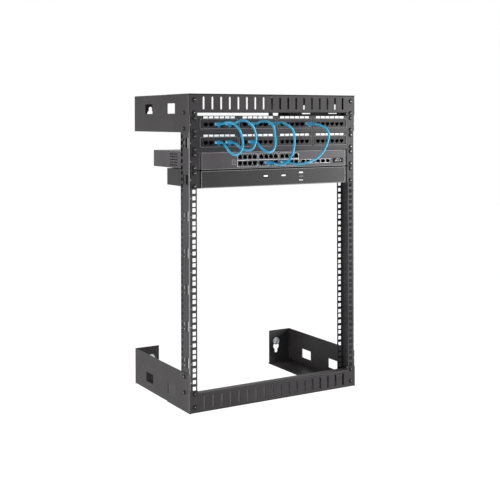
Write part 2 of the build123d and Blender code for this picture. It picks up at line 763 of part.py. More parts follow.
def cord(name):
    """A round cord along its route, in straight runs joined by tangent arcs."""
    points = CORDS[name]
    radii = corner_radii(points)
    path = FilletPolyline(*points, radius=radii)
    tube = sweep(Plane(path @ 0, z_dir=path % 0) * Circle(CORD / 2), path=path)
    true_volume = pi * (CORD / 2) ** 2 * path.length
    print(name, "length", round(path.length, 1), "smallest radius", round(min(radii), 1),
          "volume ratio", round(tube.volume / true_volume, 4))
    return tube


def plug(end, latch):
    """A plug in its socket, with the boot that its cord leaves by."""
    x, y, z = end
    front = y + BOOT_LENGTH
    wide, high = PLUG_WIDTH / 2, PLUG_HEIGHT / 2
    body = block(x - wide, x + wide, front, front + PLUG_OUTSIDE + PLUG_INSIDE, z - high, z + high)
    tip = Plane((x, y, z), x_dir=(1, 0, 0), z_dir=(0, 1, 0))
    root = Plane((x, front, z), x_dir=(1, 0, 0), z_dir=(0, 1, 0))
    boot = loft([tip * Circle(BOOT_TIP / 2), root * RectangleRounded(BOOT_WIDE, BOOT_HIGH, BOOT_CORNER)])
    wide, thick = TONGUE_WIDTH / 2, TONGUE_THICK / 2
    rise = z + latch * (PLUG_HEIGHT / 2 + thick)
    tongue = block(x - wide, x + wide, front - thick, front + PLUG_OUTSIDE + TONGUE_INSIDE,
                   rise - thick, rise + thick)
    return body + boot + tongue


# Writing

def save(name, pieces):
    """Write one piece, or a group of like pieces, at its place from the origin."""
    pieces = pieces if isinstance(pieces, list) else [pieces]
    placed = [TO_ORIGIN * solid for piece in pieces for solid in piece.solids()]
    shape = placed[0] if len(placed) == 1 else Compound(children=placed)
    export_step(shape, os.path.join("parts", name + ".step"))


def save_frame():
    """The rack itself."""
    bracket = lower_bracket()
    save("lower_bracket", bracket)
    save("upper_bracket", upside_down(bracket))
    save("right_rail", right_rail())
    save("left_rail", left_rail())
    save("side_screws", [side_screw(side, rise) for side in (-1, 1) for rise in side_screw_rises()])
    save("tab_screws", [front_screw(x, z) for x, z in tab_spots()])
    save("unit_screws", [front_screw(x, z) for x, z in unit_spots()])
    spots = tab_spots() + unit_spots()
    save("left_cage_nuts", [cage_nut(x, z) for x, z in spots if x < 0])
    save("right_cage_nuts", [cage_nut(x, z) for x, z in spots if x > 0])
    save("wall_bolts", [wall_bolt(x) for x in (-KEY_X, KEY_X)])
    save("wall_washers", [wall_washer(x) for x in (-KEY_X, KEY_X)])


def save_panels():
    """The two patch panels."""
    for number in (1, 2):
        z = unit_middle(number)
        name = "panel_%d_" % number
        save(name + "plate", panel_plate(z))
        save(name + "modules", [panel_module(x, z) for x in field_places()])
        save(name + "labels", [panel_label(x, z) for x in field_places()])
        save(name + "boards", [panel_board(x, z) for x in field_places()])
        save(name + "blocks", [piece for x in field_places() for piece in panel_blocks(x, z)])


def save_units():
    """The switch and the console unit below it."""
    z = unit_middle(3)
    save("switch_case", switch_case(z))
    save("switch_front", switch_front(z))
    save("switch_sockets", [switch_sockets(x, z) for x in group_places()])
    save("switch_cages", [switch_cage(x, z) for x in cage_places()])
    save("switch_serial_port", serial_port(z))
    save("switch_inlet", switch_inlet(z))
    ear = unit_ear(z)
    save("switch_ears", [ear, mirrored(ear)])
    z = unit_middle(4)
    save("console_case", unit_case(z, CONSOLE_DEPTH, CONSOLE_HALF))
    save("console_front", console_front(z))
    save("console_buttons", console_buttons(z))
    save("console_rear_ports", console_rear_ports(z))
    ear = unit_ear(z)
    save("console_ears", [ear, mirrored(ear)])


def save_cords():
    """The five patch cords, each with the plugs at its two ends."""
    for name, points in CORDS.items():
        save(name, cord(name))
        save(name.replace("cord", "plugs"), [plug(points[0], -1), plug(points[-1], -1)])


os.makedirs("parts", exist_ok=True)
save_frame()
save_panels()
save_units()
save_cords()
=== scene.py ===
import math

import bmesh
import bpy
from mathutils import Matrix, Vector


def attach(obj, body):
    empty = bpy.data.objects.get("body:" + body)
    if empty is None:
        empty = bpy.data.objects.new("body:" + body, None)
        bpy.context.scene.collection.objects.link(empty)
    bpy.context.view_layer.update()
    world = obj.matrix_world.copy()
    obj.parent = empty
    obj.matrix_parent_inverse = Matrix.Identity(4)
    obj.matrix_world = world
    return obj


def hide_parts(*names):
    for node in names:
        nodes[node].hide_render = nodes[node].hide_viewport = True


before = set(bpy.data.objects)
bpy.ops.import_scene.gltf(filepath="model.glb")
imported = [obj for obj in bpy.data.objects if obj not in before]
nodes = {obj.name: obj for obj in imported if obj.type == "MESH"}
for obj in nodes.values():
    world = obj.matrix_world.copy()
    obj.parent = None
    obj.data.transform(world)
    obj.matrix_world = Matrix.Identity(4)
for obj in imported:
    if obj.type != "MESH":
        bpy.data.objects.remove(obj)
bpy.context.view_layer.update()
bpy.ops.object.select_all(action="DESELECT")

# The room: a pale floor well below the rack, a world that is white where it is seen or
# mirrored, and four soft lamps: high and low on the left, above, and close on the right.
scene = bpy.context.scene
scene.view_settings.view_transform = "Standard"


def background_rays(tree):
    """1 for a ray that sees the background directly or in metal, gloss or glass, else 0."""
    rays = tree.nodes.new("ShaderNodeLightPath")
    seen = rays.outputs["Is Camera Ray"]
    for kind in ("Is Glossy Ray", "Is Transmission Ray"):
        either = tree.nodes.new("ShaderNodeMath")
        either.operation = "MAXIMUM"
        tree.links.new(seen, either.inputs[0])
        tree.links.new(rays.outputs[kind], either.inputs[1])
        seen = either.outputs[0]
    return seen


WHITE = (1.0, 1.0, 1.0, 1.0)
ROOM_LIGHT = 0.27
world = bpy.data.worlds.new("white_room")
scene.world = world
world.use_nodes = True
links = world.node_tree.links
backdrop = world.node_tree.nodes["Background"]
backdrop.inputs["Color"].default_value = WHITE
level = world.node_tree.nodes.new("ShaderNodeMapRange")
level.inputs["To Min"].default_value = ROOM_LIGHT
level.inputs["To Max"].default_value = 1.0
links.new(background_rays(world.node_tree), level.inputs["Value"])
links.new(level.outputs["Result"], backdrop.inputs["Strength"])

FLOOR_SIDE = 14.0
FLOOR_MIDDLE = (0.2, 1.0, -0.32)
FLOOR_COLOUR = (0.92, 0.92, 0.92, 1.0)
GLOW_STRENGTH = 1.17
GLOW_SHARE = 0.85
bpy.ops.mesh.primitive_plane_add(size=FLOOR_SIDE, location=FLOOR_MIDDLE)
floor = bpy.context.object
floor.name = "floor"
floor_paper = bpy.data.materials.new("floor_paper")
floor_paper.use_nodes = True
tree = floor_paper.node_tree
matt = tree.nodes["Principled BSDF"]
matt.inputs["Base Color"].default_value = FLOOR_COLOUR
matt.inputs["Roughness"].default_value = 0.9
glow = tree.nodes.new("ShaderNodeEmission")
glow.inputs["Color"].default_value = WHITE
glow.inputs["Strength"].default_value = GLOW_STRENGTH
paper = tree.nodes.new("ShaderNodeMixShader")
share = tree.nodes.new("ShaderNodeMath")
share.operation = "MULTIPLY"
share.inputs[1].default_value = GLOW_SHARE
tree.links.new(background_rays(tree), share.inputs[0])
tree.links.new(share.outputs[0], paper.inputs["Fac"])
tree.links.new(matt.outputs[0], paper.inputs[1])
tree.links.new(glow.outputs[0], paper.inputs[2])
tree.links.new(paper.outputs[0], tree.nodes["Material Output"].inputs["Surface"])
floor.data.materials.append(floor_paper)

RACK_MIDDLE = Vector((0.2, -0.16, 0.45))
for name, place, size, power in (
    ("lamp_left", (-2.4, -0.6, 1.4), 1.0, 5.0),
    ("lamp_low", (-1.35, -0.45, -0.12), 0.7, 18.0),
    ("lamp_top", (0.2, -1.2, 3.2), 2.0, 14.0),
    ("lamp_right", (1.9, -1.6, 0.65), 0.8, 52.0),
):
    bpy.ops.object.light_add(type="AREA", location=place)
    lamp = bpy.context.object
    lamp.name = name
    lamp.data.size = size
    lamp.data.energy = power
    lamp.rotation_euler = (RACK_MIDDLE - Vector(place)).to_track_quat("-Z", "Y").to_euler()

# The camera, fitted to the rack grid: it stands left of the rack at the height of its top
# units and looks level, with the picture shifted down to the rack, so upright edges stay
# parallel. The focal length and the horizon are in picture pixels.
CAMERA_PLACE = (-1.10117, -2.41184, 0.69784)
CAMERA_PITCH = -0.0064
CAMERA_ROLL = 0.0023
CAMERA_TURN = -0.5307
SENSOR_WIDTH = 36.0
PICTURE_SIDE = 500.0
FOCAL_LENGTH = 970.86
HORIZON_ROW = 125.95
bpy.ops.object.camera_add(location=CAMERA_PLACE)
camera = bpy.context.object
camera.rotation_euler = (math.pi / 2 + CAMERA_PITCH, CAMERA_ROLL, CAMERA_TURN)
camera.data.sensor_width = SENSOR_WIDTH
camera.data.lens = SENSOR_WIDTH * FOCAL_LENGTH / PICTURE_SIDE
camera.data.shift_y = (HORIZON_ROW - PICTURE_SIDE / 2) / PICTURE_SIDE
camera.data.clip_start = 0.05
camera.data.clip_end = 60.0
scene.camera = camera

# The two brackets: each is one sheet of 2 mm steel, punched and folded into a crossbar,
# two side plates, two wall flanges and a shelf, and powder coated in fine textured black.
# These are the rack's middle, front, top and bottom in metres, and the bands of painted highlight
# behind its front bends and of painted shade along its top and bottom edges.
MIDDLE_X = 0.2
FRONT_Y = -0.3256
TOP_Z = 0.76159
BOTTOM_Z = -0.0115
BEND_HIGHLIGHT_SIDES = (0.0014, 0.0004)
BEND_HIGHLIGHT_DEPTHS = (0.0072, 0.0052)
UPPER_RIM_SHADE = (0.0032, 0.0022)
LOWER_RIM_SHADE = (0.0030, 0.0020)
RIM_SHADE_DEPTHS = (0.0026, 0.0020)
BRACKET_HALF = 0.24675


def coat(name, colour, rough, grain, bump=0.06, spread=0.2, metal=0.0, shine=0.18):
    """A sprayed or moulded finish: cloudy colour, fine orange peel, uneven gloss."""
    material = bpy.data.materials.new(name)
    material.use_nodes = True
    tree = material.node_tree
    shader = tree.nodes["Principled BSDF"]
    shader.inputs["Metallic"].default_value = metal
    shader.inputs["Specular IOR Level"].default_value = shine
    place = tree.nodes.new("ShaderNodeTexCoord")
    cloud = tree.nodes.new("ShaderNodeTexNoise")
    cloud.inputs["Scale"].default_value = 9.0
    cloud.inputs["Detail"].default_value = 5.0
    peel = tree.nodes.new("ShaderNodeTexNoise")
    peel.inputs["Scale"].default_value = grain
    peel.inputs["Detail"].default_value = 3.0
    both = tree.nodes.new("ShaderNodeMath")
    both.operation = "MULTIPLY_ADD"
    both.inputs[1].default_value = 0.25
    tint = tree.nodes.new("ShaderNodeValToRGB")
    tint.name = "tint"
    tint.color_ramp.elements[0].position = 0.4
    tint.color_ramp.elements[1].position = 0.85
    tint.color_ramp.elements[0].color = [c * (1 - spread) for c in colour] + [1.0]
    tint.color_ramp.elements[1].color = [c * (1 + spread) for c in colour] + [1.0]
    gloss = tree.nodes.new("ShaderNodeMapRange")
    gloss.inputs["To Min"].default_value = rough - 0.08
    gloss.inputs["To Max"].default_value = rough + 0.08
    height = tree.nodes.new("ShaderNodeBump")
    height.inputs["Strength"].default_value = bump
    height.inputs["Distance"].default_value = 0.0004
    link = tree.links.new
    link(place.outputs["Object"], cloud.inputs["Vector"])
    link(place.outputs["Object"], peel.inputs["Vector"])
    link(peel.outputs["Fac"], both.inputs[0])
    link(cloud.outputs["Fac"], both.inputs[2])
    link(both.outputs[0], tint.inputs["Fac"])
    link(tint.outputs["Color"], shader.inputs["Base Color"])
    link(peel.outputs["Fac"], gloss.inputs["Value"])
    link(gloss.outputs["Result"], shader.inputs["Roughness"])
    link(peel.outputs["Fac"], height.inputs["Height"])
    link(height.outputs["Normal"], shader.inputs["Normal"])
    return material


def finish(material, *names):
    """Gives CAD nodes their material, in every slot that they have."""
    for name in names:
        mesh = nodes[name].data
        if not mesh.materials:
            mesh.materials.append(material)
        for place in range(len(mesh.materials)):
            mesh.materials[place] = material


def zone(tree, axis, edges):
    """A mask that rises from 0 to 1 between two places along one axis, in metres."""
    place = tree.nodes.new("ShaderNodeTexCoord")
    apart = tree.nodes.new("ShaderNodeSeparateXYZ")
    mask = tree.nodes.new("ShaderNodeMapRange")
    mask.inputs["From Min"].default_value = edges[0]
    mask.inputs["From Max"].default_value = edges[1]
    tree.links.new(place.outputs["Object"], apart.inputs[0])
    tree.links.new(apart.outputs[axis], mask.inputs["Value"])
    return mask.outputs["Result"]


def combined(tree, step, first, second):
    """The product or the larger of two masks."""
    both = tree.nodes.new("ShaderNodeMath")
    both.operation = step
    tree.links.new(first, both.inputs[0])
    tree.links.new(second, both.inputs[1])
    return both.outputs[0]


def tinted(material, mask, grey):
    """Mixes an even grey over the coat's colour where the mask is 1."""
    tree = material.node_tree
    shader = tree.nodes["Principled BSDF"]
    before = shader.inputs["Base Color"].links[0].from_socket
    over = tree.nodes.new("ShaderNodeMix")
    over.data_type = "RGBA"
    over.inputs["B"].default_value = (grey, grey, grey, 1.0)
    tree.links.new(mask, over.inputs["Factor"])
    tree.links.new(before, over.inputs["A"])
    tree.links.new(over.outputs["Result"], shader.inputs["Base Color"])


def painted_bend_highlights(material, half, grey):
    """Paints a highlight as paler coat just behind the upright front bends, where they catch the
    light.
    """
    tree = material.node_tree
    left = zone(tree, "X", [MIDDLE_X - half + inside for inside in BEND_HIGHLIGHT_SIDES])
    right = zone(tree, "X", [MIDDLE_X + half - inside for inside in BEND_HIGHLIGHT_SIDES])
    front = zone(tree, "Y", [FRONT_Y + depth for depth in BEND_HIGHLIGHT_DEPTHS])
    sides = combined(tree, "MAXIMUM", left, right)
    tinted(material, combined(tree, "MULTIPLY", sides, front), grey)


def paint_shade_inside(material, face):
    """Paints shade on a part: black from just behind its face inwards, with the face in
    millimetres from the rack's front.
    """
    edges = [FRONT_Y + (face + depth) / 1000 for depth in (0.3, 2.2)]
    tinted(material, zone(material.node_tree, "Y", edges), grey=0.002)


bracket_coat = coat("bracket_coat", (0.041, 0.038, 0.040), rough=0.42, grain=900.0, shine=0.14)
# A painted highlight: the coat is paler just behind the front bends.
painted_bend_highlights(bracket_coat, BRACKET_HALF, grey=0.085)
# Painted shade: the front is painted near black in a band along its top and bottom edges.
tree = bracket_coat.node_tree
upper_rim_shade = zone(tree, "Z", [TOP_Z - inside for inside in UPPER_RIM_SHADE])
lower_rim_shade = zone(tree, "Z", [BOTTOM_Z + inside for inside in LOWER_RIM_SHADE])
rim_shades = combined(tree, "MAXIMUM", upper_rim_shade, lower_rim_shade)
front = zone(tree, "Y", [FRONT_Y + depth for depth in RIM_SHADE_DEPTHS])
tinted(bracket_coat, combined(tree, "MULTIPLY", rim_shades, front), grey=0.004)
finish(bracket_coat, "upper_bracket", "lower_bracket")

# The rails: two folded channels of the same steel, open towards the bay, with the square holes of
# the rack grid in both flanges. They are screwed between the brackets. The coat is painted paler
# behind their front bends, as a painted highlight, and the left one's front is painted darker in
# a narrow strip along its bend, as painted shade.
RAIL_HALF = 0.24475
SHADE_STRIP_OUTER = (0.2444, 0.2440)
SHADE_STRIP_INNER = (0.2384, 0.2390)
SHADE_STRIP_DEPTHS = (0.0008, 0.0004)
rail_coat = coat("rail_coat", (0.046, 0.044, 0.047), rough=0.42, grain=900.0, shine=0.14)
# A painted highlight: the coat is paler just behind the rails' front bends.
painted_bend_highlights(rail_coat, RAIL_HALF, grey=0.28)
tree = rail_coat.node_tree
# Painted shade: a narrow strip of the left rail's front, along its bend, is painted darker.
outer = zone(tree, "X", [MIDDLE_X - apart for apart in SHADE_STRIP_OUTER])
inner = zone(tree, "X", [MIDDLE_X - apart for apart in SHADE_STRIP_INNER])
front = zone(tree, "Y", [FRONT_Y + depth for depth in SHADE_STRIP_DEPTHS])
shade = combined(tree, "MULTIPLY", combined(tree, "MULTIPLY", outer, inner), front)
tinted(rail_coat, shade, grey=0.010)
finish(rail_coat, "left_rail", "right_rail")

# Black plated pan head screws hold the tabs, the units and the side plates to the rails. A pale
# zinc disc at the centre of each cross recess is a painted glint. Each bears on a thin black
# washer, whose dark ring round the head is also painted shade.
# From here on sizes are in millimetres from the rack's middle, front and lower edge.
TO_ORIGIN = Vector((MIDDLE_X, FRONT_Y, BOTTOM_Z))
HOLE_X = 232.55
HALF_WIDTH = 1000 * BRACKET_HALF
RACK_HEIGHT = 773.09
UNIT_MIDDLES = {1: 697.695, 2: 653.245, 3: 608.795, 4: 564.345}
TAB_HOLES = (15.07, 46.82)
SIDE_HOLES = (45.9, 84.9)
HOLE_SPREAD = 15.875
SIDE_HOLE_BACK = 29.0
HEAD_RADIUS = 4.7
SHANK_RADIUS = 3.0
WASHER_RADIUS = 6.1
WASHER_FACE = -0.8


def spot(x, y, z):
    """A place in the CAD's frame, from millimetres: right of the middle, back, up."""
    return Vector((x, y, z)) / 1000 + TO_ORIGIN


def pick(piece, kind, test):
    """Selects the faces or edges of the piece in edit mode that pass the test."""
    bpy.ops.mesh.select_mode(type={"faces": "FACE", "edges": "EDGE"}[kind])
    bpy.ops.mesh.select_all(action="DESELECT")
    mesh = bmesh.from_edit_mesh(piece.data)
    for part in getattr(mesh, kind):
        if test(part):
            part.select_set(True)
    bmesh.update_edit_mesh(piece.data)


def settled(piece, name, material, angle=35.0):
    """Puts a model's place into its mesh, smooths its round sides and gives its finish."""
    piece.name = name
    bpy.ops.object.select_all(action="DESELECT")
    piece.select_set(True)
    bpy.context.view_layer.objects.active = piece
    bpy.ops.object.transform_apply(location=True, rotation=True, scale=True)
    bpy.ops.object.shade_smooth_by_angle(angle=math.radians(angle))
    piece.data.materials.clear()
    piece.data.materials.append(material)
    return piece


def joined(pieces, name):
    """Joins finished pieces into the first one."""
    bpy.ops.object.select_all(action="DESELECT")
    for piece in pieces:
        piece.select_set(True)
    bpy.context.view_layer.objects.active = pieces[0]
    bpy.ops.object.join()
    whole = bpy.context.object
    whole.name = name
    bpy.ops.object.select_all(action="DESELECT")
    return whole


def repeated(model, name, spots, turn=0.0, keep=False):
    """Copies a model to each spot, each copy with its own mesh, and joins the copies."""
    pieces = []
    for place in spots:
        piece = model.copy()
        piece.data = model.data.copy()
        scene.collection.objects.link(piece)
        piece.location = place
        piece.rotation_euler = (0.0, 0.0, turn)
        pieces.append(piece)
    bpy.ops.object.select_all(action="DESELECT")
    for piece in pieces:
        piece.select_set(True)
    bpy.context.view_layer.objects.active = pieces[0]
    bpy.ops.object.transform_apply(location=True, rotation=True, scale=False)
    whole = joined(pieces, name)
    if not keep:
        bpy.data.objects.remove(model)
    return whole


def riding(piece, slot, *replaced):
    """The piece moves with the rack, and may stand for CAD nodes."""
    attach(piece, "root")
    if replaced:
        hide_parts(*replaced)


def slab(wide, deep, high, edge, segments=1, middle=(0.0, 0.0, 0.0)):
    """A block, in millimetres, with all its edges rounded, in object mode."""
    bpy.ops.mesh.primitive_cube_add(size=1.0, location=Vector(middle) / 1000)
    block = bpy.context.object
    block.scale = (wide / 1000, deep / 1000, high / 1000)
    bpy.ops.object.transform_apply(location=True, rotation=True, scale=True)
    bpy.ops.object.mode_set(mode="EDIT")
    bpy.ops.mesh.select_all(action="SELECT")
    bpy.ops.mesh.bevel(offset=edge / 1000, segments=segments, affect="EDGES")
    bpy.ops.object.mode_set(mode="OBJECT")
    return block


def disc(radius, front, back, edge, vertices=24, segments=2):
    """A round bar along Y, in millimetres, with its front edge rounded."""
    bpy.ops.mesh.primitive_cylinder_add(
        vertices=vertices, radius=radius / 1000, depth=(back - front) / 1000,
        location=(0.0, (front + back) / 2000, 0.0), rotation=(math.pi / 2, 0.0, 0.0))
    bar = bpy.context.object
    bpy.ops.object.transform_apply(location=True, rotation=True, scale=True)
    bpy.ops.object.mode_set(mode="EDIT")
    pick(bar, "edges", lambda line: all(v.co.y < front / 1000 + 1e-6 for v in line.verts))
    bpy.ops.mesh.bevel(offset=edge / 1000, segments=segments, affect="EDGES")
    bpy.ops.object.mode_set(mode="OBJECT")
    return bar


def screw(name, head_height, shank_end, glint_radius):
    """A pan head with a cross recess and a painted glint at its centre, a shank and a washer."""
    head = disc(radius=HEAD_RADIUS, front=-head_height, back=WASHER_FACE + 0.1, edge=1.2,
                segments=3)
    for turn in (0.0, math.pi / 2):
        cutter = slab(wide=4.6, deep=2.6, high=0.9, edge=0.15, middle=(0.0, -head_height, 0.0))
        cutter.rotation_euler = (0.0, turn, 0.0)
        cut = head.modifiers.new("recess", "BOOLEAN")
        cut.operation = "DIFFERENCE"
        cut.solver = "EXACT"
        cut.object = cutter
        bpy.context.view_layer.objects.active = head
        bpy.ops.object.modifier_apply(modifier="recess")
        bpy.data.objects.remove(cutter)
    settled(head, name, screw_plating)
    shank = disc(radius=SHANK_RADIUS, front=WASHER_FACE, back=shank_end, edge=0.2)
    settled(shank, "shank", screw_plating)
    centre = disc(radius=glint_radius, front=0.35 - head_height, back=WASHER_FACE, edge=0.1,
                  vertices=12)
    settled(centre, "centre", screw_glint_zinc)
    washer = disc(radius=WASHER_RADIUS, front=WASHER_FACE, back=0.0, edge=0.3)
    settled(washer, "washer", black_washer_and_shade)
    return joined([head, shank, washer, centre], name)


screw_plating = coat("screw_plating", (0.012, 0.012, 0.013),
                     rough=0.42, grain=1500.0, bump=0.03, shine=0.22)
# A painted glint: pale zinc at the centre of each cross recess.
screw_glint_zinc = coat("screw_glint_zinc", (0.62, 0.62, 0.63),
                  rough=0.35, grain=900.0, metal=0.3, shine=0.5)
# The washers are black, and their ring round each head also stands in for shade.
black_washer_and_shade = coat("black_washer_and_shade", (0.006, 0.006, 0.006),
                    rough=0.4, grain=900.0, bump=0.03, shine=0.2)
tab_rises = [rise for low in TAB_HOLES for rise in (low, RACK_HEIGHT - low)]
unit_rises = [middle + side * HOLE_SPREAD for middle in UNIT_MIDDLES.values() for side in (-1, 1)]
side_rises = [rise for low in SIDE_HOLES for rise in (low, RACK_HEIGHT - low)]
front_screw = screw("front_screw", head_height=2.6, shank_end=16.0, glint_radius=1.0)
tab_screws = repeated(front_screw, "tab_screw_set",
                      [spot(x, 0.0, z) for x in (-HOLE_X, HOLE_X) for z in tab_rises], keep=True)
riding(tab_screws, "black_screw", "tab_screws")
unit_screws = repeated(front_screw, "unit_screw_set",
                       [spot(x, 0.0, z) for x in (-HOLE_X, HOLE_X) for z in unit_rises])
riding(unit_screws, "black_screw", "unit_screws")
side_screw = screw("side_screw", head_height=2.5, shank_end=5.5, glint_radius=1.5)
left_screws = repeated(side_screw, "left_side_screws",
                       [spot(-HALF_WIDTH, SIDE_HOLE_BACK, z) for z in side_rises],
                       turn=-math.pi / 2, keep=True)
right_screws = repeated(side_screw, "right_side_screws",
                        [spot(HALF_WIDTH, SIDE_HOLE_BACK, z) for z in side_rises],
                        turn=math.pi / 2)
side_screws = joined([left_screws, right_screws], "side_screw_set")
riding(side_screws, "black_screw", "side_screws")

# A small white mark at the middle of each unit is printed beside the rails' front bends.
# The marks count the fifteen units, and carry no numbers. They are paint, a tenth of a
# millimetre thick.
mark_paint = coat("mark_paint", (0.55, 0.55, 0.55), rough=0.5, grain=600.0, spread=0.08)
UNITS = 15
UNIT_PITCH = 44.45
MARK_X = 242.8
unit_mark = settled(slab(wide=1.7, deep=0.12, high=2.2, edge=0.04), "unit_mark", mark_paint)
unit_marks = repeated(unit_mark, "rail_unit_marks",
                      [spot(x, -0.05, UNIT_MIDDLES[1] - unit * UNIT_PITCH)
                       for x in (-MARK_X, MARK_X) for unit in range(UNITS)])
riding(unit_marks, "black_coat")

# Cage nuts: a square nut in a sprung cage of zinc plated steel. Each snaps into a square
# hole from behind the rail's front flange, and takes one of the front screws.
nut_zinc = coat("nut_zinc", (0.50, 0.50, 0.49), rough=0.35, grain=700.0, metal=0.9, shine=0.5)
finish(nut_zinc, "left_cage_nuts", "right_cage_nuts")

# Two galvanised hexagon bolts with washers hold the lower wall flanges to the wall through
# their keyholes. The heads are chamfered, with a shallow dish in the top.
galvanised = coat("galvanised", (0.66, 0.67, 0.68),
                  rough=0.36, grain=260.0, spread=0.35, metal=0.55, shine=0.5)
BOLT_X = 200.0
BOLT_RISE = 62.1
FLANGE_FACE = 323.6
WASHER_THICK = 1.6
bolt_head = disc(radius=7.5, front=-5.5, back=0.0, edge=0.9, vertices=6, segments=1)
bpy.ops.object.mode_set(mode="EDIT")
pick(bolt_head, "faces", lambda face: face.normal.y < -0.99)
bpy.ops.mesh.inset(thickness=0.0012, depth=-0.0005)
bpy.ops.object.mode_set(mode="OBJECT")
settled(bolt_head, "bolt_head", galvanised, angle=20.0)
bolt_shank = settled(disc(radius=4.0, front=-0.5, back=3.6, edge=0.1), "bolt_shank", galvanised)
wall_bolt = joined([bolt_head, bolt_shank], "wall_bolt")
bolts = repeated(wall_bolt, "wall_bolt_set",
                 [spot(x, FLANGE_FACE - WASHER_THICK, BOLT_RISE) for x in (-BOLT_X, BOLT_X)])
riding(bolts, "bolt_steel", "wall_bolts")
finish(galvanised, "wall_washers")

# The two patch panels: black coated steel plates with four moulded modules each. Each
# module has a raised frame with round corners, and six sockets with gilt contact wires.
MODULE_X = (-164.625, -54.875, 54.875, 164.625)
PORT_PITCH = 15.0
PORT_X = [(place - 2.5) * PORT_PITCH for place in range(6)]
SOCKET_RISE = 1.3
MODULE_RISE = 1.8
MODULE_FACE = -1.2
panel_coat = coat("panel_coat", (0.026, 0.025, 0.027), rough=0.42, grain=800.0)
finish(panel_coat, "panel_1_plate", "panel_2_plate")
module_plastic = coat("module_plastic", (0.022, 0.021, 0.023),
                      rough=0.48, grain=500.0, bump=0.04)
# Painted shade: the modules are painted black from just behind the socket mouths inwards.
paint_shade_inside(module_plastic, MODULE_FACE)
finish(module_plastic, "panel_1_modules", "panel_2_modules")
# The raised frames are painted much paler than the modules: a painted highlight on their edges.
frame_highlight_plastic = coat("frame_highlight_plastic", (0.21, 0.206, 0.21), rough=0.36, grain=500.0, bump=0.04)
gilt = coat("gilt", (0.30, 0.21, 0.08), rough=0.3, grain=900.0, metal=1.0, shine=0.5)


def plate(wide, high, corner, segments):
    """A flat plate with round corners on the XZ plane, in millimetres, left in edit mode."""
    bpy.ops.mesh.primitive_plane_add(size=1.0, rotation=(math.pi / 2, 0.0, 0.0))
    sheet = bpy.context.object
    sheet.scale = (wide / 1000, high / 1000, 1.0)
    bpy.ops.object.transform_apply(location=True, rotation=True, scale=True)
    bpy.ops.object.mode_set(mode="EDIT")
    bpy.ops.mesh.select_all(action="SELECT")
    bpy.ops.mesh.bevel(offset=corner / 1000, segments=segments, affect="VERTICES")
    return sheet


def thickened(sheet, thick):
    """Gives a plate its thickness in front of the XZ plane, in millimetres."""
    bpy.ops.object.mode_set(mode="OBJECT")
    solid = sheet.modifiers.new("solid", "SOLIDIFY")
    solid.thickness = thick / 1000
    solid.offset = 1.0
    bpy.ops.object.modifier_apply(modifier="solid")


def rim(name, material, wide, high, band, proud, corner, edge=0.25):
    """A flat ring with round corners, standing proud of the XZ plane, in millimetres."""
    ring = plate(wide, high, corner, segments=4)
    bpy.ops.mesh.select_mode(type="FACE")
    bpy.ops.mesh.select_all(action="SELECT")
    bpy.ops.mesh.inset(thickness=band / 1000)
    bpy.ops.mesh.delete(type="FACE")
    thickened(ring, proud)
    soft = ring.modifiers.new("soft", "BEVEL")
    soft.width = edge / 1000
    soft.segments = 2
    bpy.ops.object.modifier_apply(modifier="soft")
    return settled(ring, name, material)


def in_a_row(piece, count, pitch):
    """Repeats a piece along X in its own mesh, with the pitch in millimetres."""
    row = piece.modifiers.new("row", "ARRAY")
    row.count = count
    row.use_relative_offset = False
    row.use_constant_offset = True
    row.constant_offset_displace = (pitch / 1000, 0.0, 0.0)
    bpy.context.view_layer.objects.active = piece
    bpy.ops.object.modifier_apply(modifier="row")
    return piece


def contact_wires(name):
    """Eight sprung wires side by side, as seen in the roof of a socket."""
    wire = slab(wide=0.5, deep=6.0, high=0.35, edge=0.1, middle=(-3.57, 9.0, 2.6))
    return settled(in_a_row(wire, 8, pitch=1.02), name, gilt)


module_frame = rim("module_frame", frame_highlight_plastic,
                   wide=106.6, high=25.2, band=1.2, proud=1.5, corner=4.2)
panel_wires = contact_wires("panel_wires")
for number in (1, 2):
    middle = UNIT_MIDDLES[number]
    frames = repeated(module_frame, "panel_%d_module_frames" % number,
                      [spot(x, 0.0, middle + MODULE_RISE) for x in MODULE_X], keep=number == 1)
    riding(frames, "module_plastic")
    wires = repeated(panel_wires, "panel_%d_contacts" % number,
                     [spot(x + port, MODULE_FACE, middle + SOCKET_RISE)
                      for x in MODULE_X for port in PORT_X], keep=number == 1)
    riding(wires, "nut_steel")

# A thin black strip fills the gap below each patch panel, and a wider one fills the gap below the
# switch. They are painted shade: dark sheets stuck between the units where the gaps lie in shade,
# so no light shows past them.
gap_shade_black = coat("gap_shade_black", (0.004, 0.004, 0.004), rough=0.8, grain=900.0, shine=0.1)
gap_strip = settled(slab(wide=447.0, deep=6.0, high=0.65, edge=0.1), "gap_strip", gap_shade_black)
gap_strips = repeated(gap_strip, "panel_gap_strips",
                      [spot(0.0, 5.0, UNIT_MIDDLES[number] - UNIT_PITCH / 2)
                       for number in (1, 2)])
wide_strip = settled(slab(wide=428.0, deep=4.6, high=3.7, edge=0.1), "wide_strip", gap_shade_black)
wide_strip = repeated(wide_strip, "switch_gap_strip",
                      [spot(0.0, 2.0, UNIT_MIDDLES[3] - UNIT_PITCH / 2)])
riding(joined([gap_strips, wide_strip], "unit_gap_strips"), "panel_coat")

# Above the sockets of each module runs a dark moulded holder, clipped to the plate, with a
# blank white card for each socket.
CARD_RISE = 17.6
CARD_MIDDLE_BACK = -0.75
holder_plastic = coat("holder_plastic", (0.02, 0.02, 0.021), rough=0.4, grain=500.0, bump=0.04)
finish(holder_plastic, "panel_1_labels", "panel_2_labels")
card_paper = coat("card_paper", (0.93, 0.93, 0.93),
                  rough=0.5, grain=400.0, bump=0.02, spread=0.04)
card = settled(slab(wide=12.4, deep=0.4, high=5.2, edge=0.12), "card", card_paper)
for number in (1, 2):
    cards = repeated(card, "panel_%d_cards" % number,
                     [spot(x + port, CARD_MIDDLE_BACK, UNIT_MIDDLES[number] + CARD_RISE)
                      for x in MODULE_X for port in PORT_X], keep=number == 1)
    riding(cards, "label_strip")

